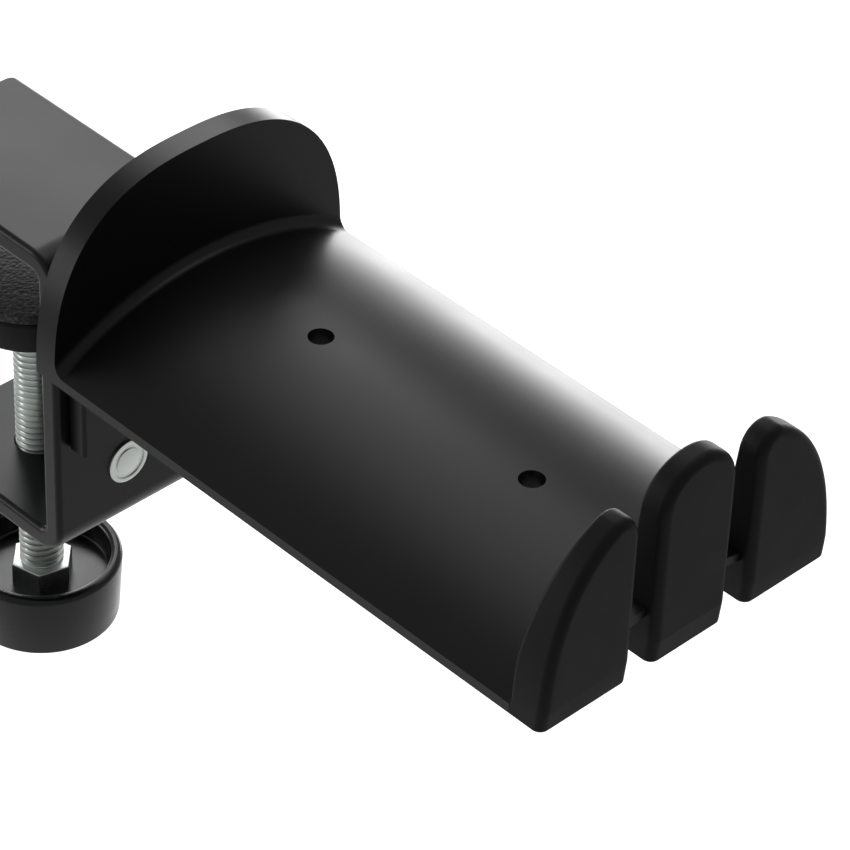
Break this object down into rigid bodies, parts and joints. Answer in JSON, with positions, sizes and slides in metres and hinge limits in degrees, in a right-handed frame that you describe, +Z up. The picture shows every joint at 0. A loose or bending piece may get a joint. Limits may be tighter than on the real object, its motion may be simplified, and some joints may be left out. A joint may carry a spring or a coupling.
{
  "type": "headphone hook",
  "caption": "Table-clamp headphone holder: a crowned steel tray with an arched back flange and rubber-capped front fingers, on a C-clamp with a thumb screw.",
  "frame": {"origin": "on the clamp screw's axis, in the underside of the upper jaw pad, which rests on the table top", "axes": "+X along the tray, away from the table; +Z up, along the screw; the object is symmetric about Y = 0"},
  "size_m": [0.1717, 0.06, 0.124],
  "materials": {
    "powder_coated_steel": "satin powder coat",
    "cap_rubber": "matt moulded rubber",
    "pad_rubber": "granular cellular rubber",
    "zinc_plated_steel": "bright zinc plating",
    "turned_steel": "turned",
    "knob_plastic": "glossy moulded ABS",
    "disc_plastic": "moulded nylon",
    "badge_aluminium": "satin disc with a ring"
  },
  "bodies": {
    "holder": {"clamp_bracket": "powder_coated_steel", "support_bar": "powder_coated_steel", "headband_tray": "powder_coated_steel", "left_finger_cap": "cap_rubber", "middle_finger_cap": "cap_rubber", "right_finger_cap": "cap_rubber", "badge": "badge_aluminium", "upper_jaw_pad": "pad_rubber"},
    "screw_tip": {"swivel_ball": "turned_steel"},
    "screw": {"clamp_screw": "zinc_plated_steel", "knob": "knob_plastic"},
    "foot": {"pressure_disc": "disc_plastic", "foot_pad": "pad_rubber"}
  },
  "joints": [
    {"name": "clamp_travel", "type": "slide", "parent": "holder", "child": "screw_tip", "axis": [0, 0, 1], "range_m": [-0.0272, 0.0152]},
    {"name": "screw_turn", "type": "hinge", "parent": "screw_tip", "child": "screw", "pos_m": [0, 0, -0.05], "axis": [0, 0, 1], "range_deg": [-7840, 4384]},
    {"name": "foot_tilt", "type": "hinge", "parent": "screw_tip", "child": "foot", "pos_m": [0, 0, -0.0212], "axis": [0, 1, 0], "range_deg": [-4, 4]}
  ],
  "couplings": [
    {"joint": "screw_turn", "follows": "clamp_travel", "rad_per_m": 5026.5}
  ]
}
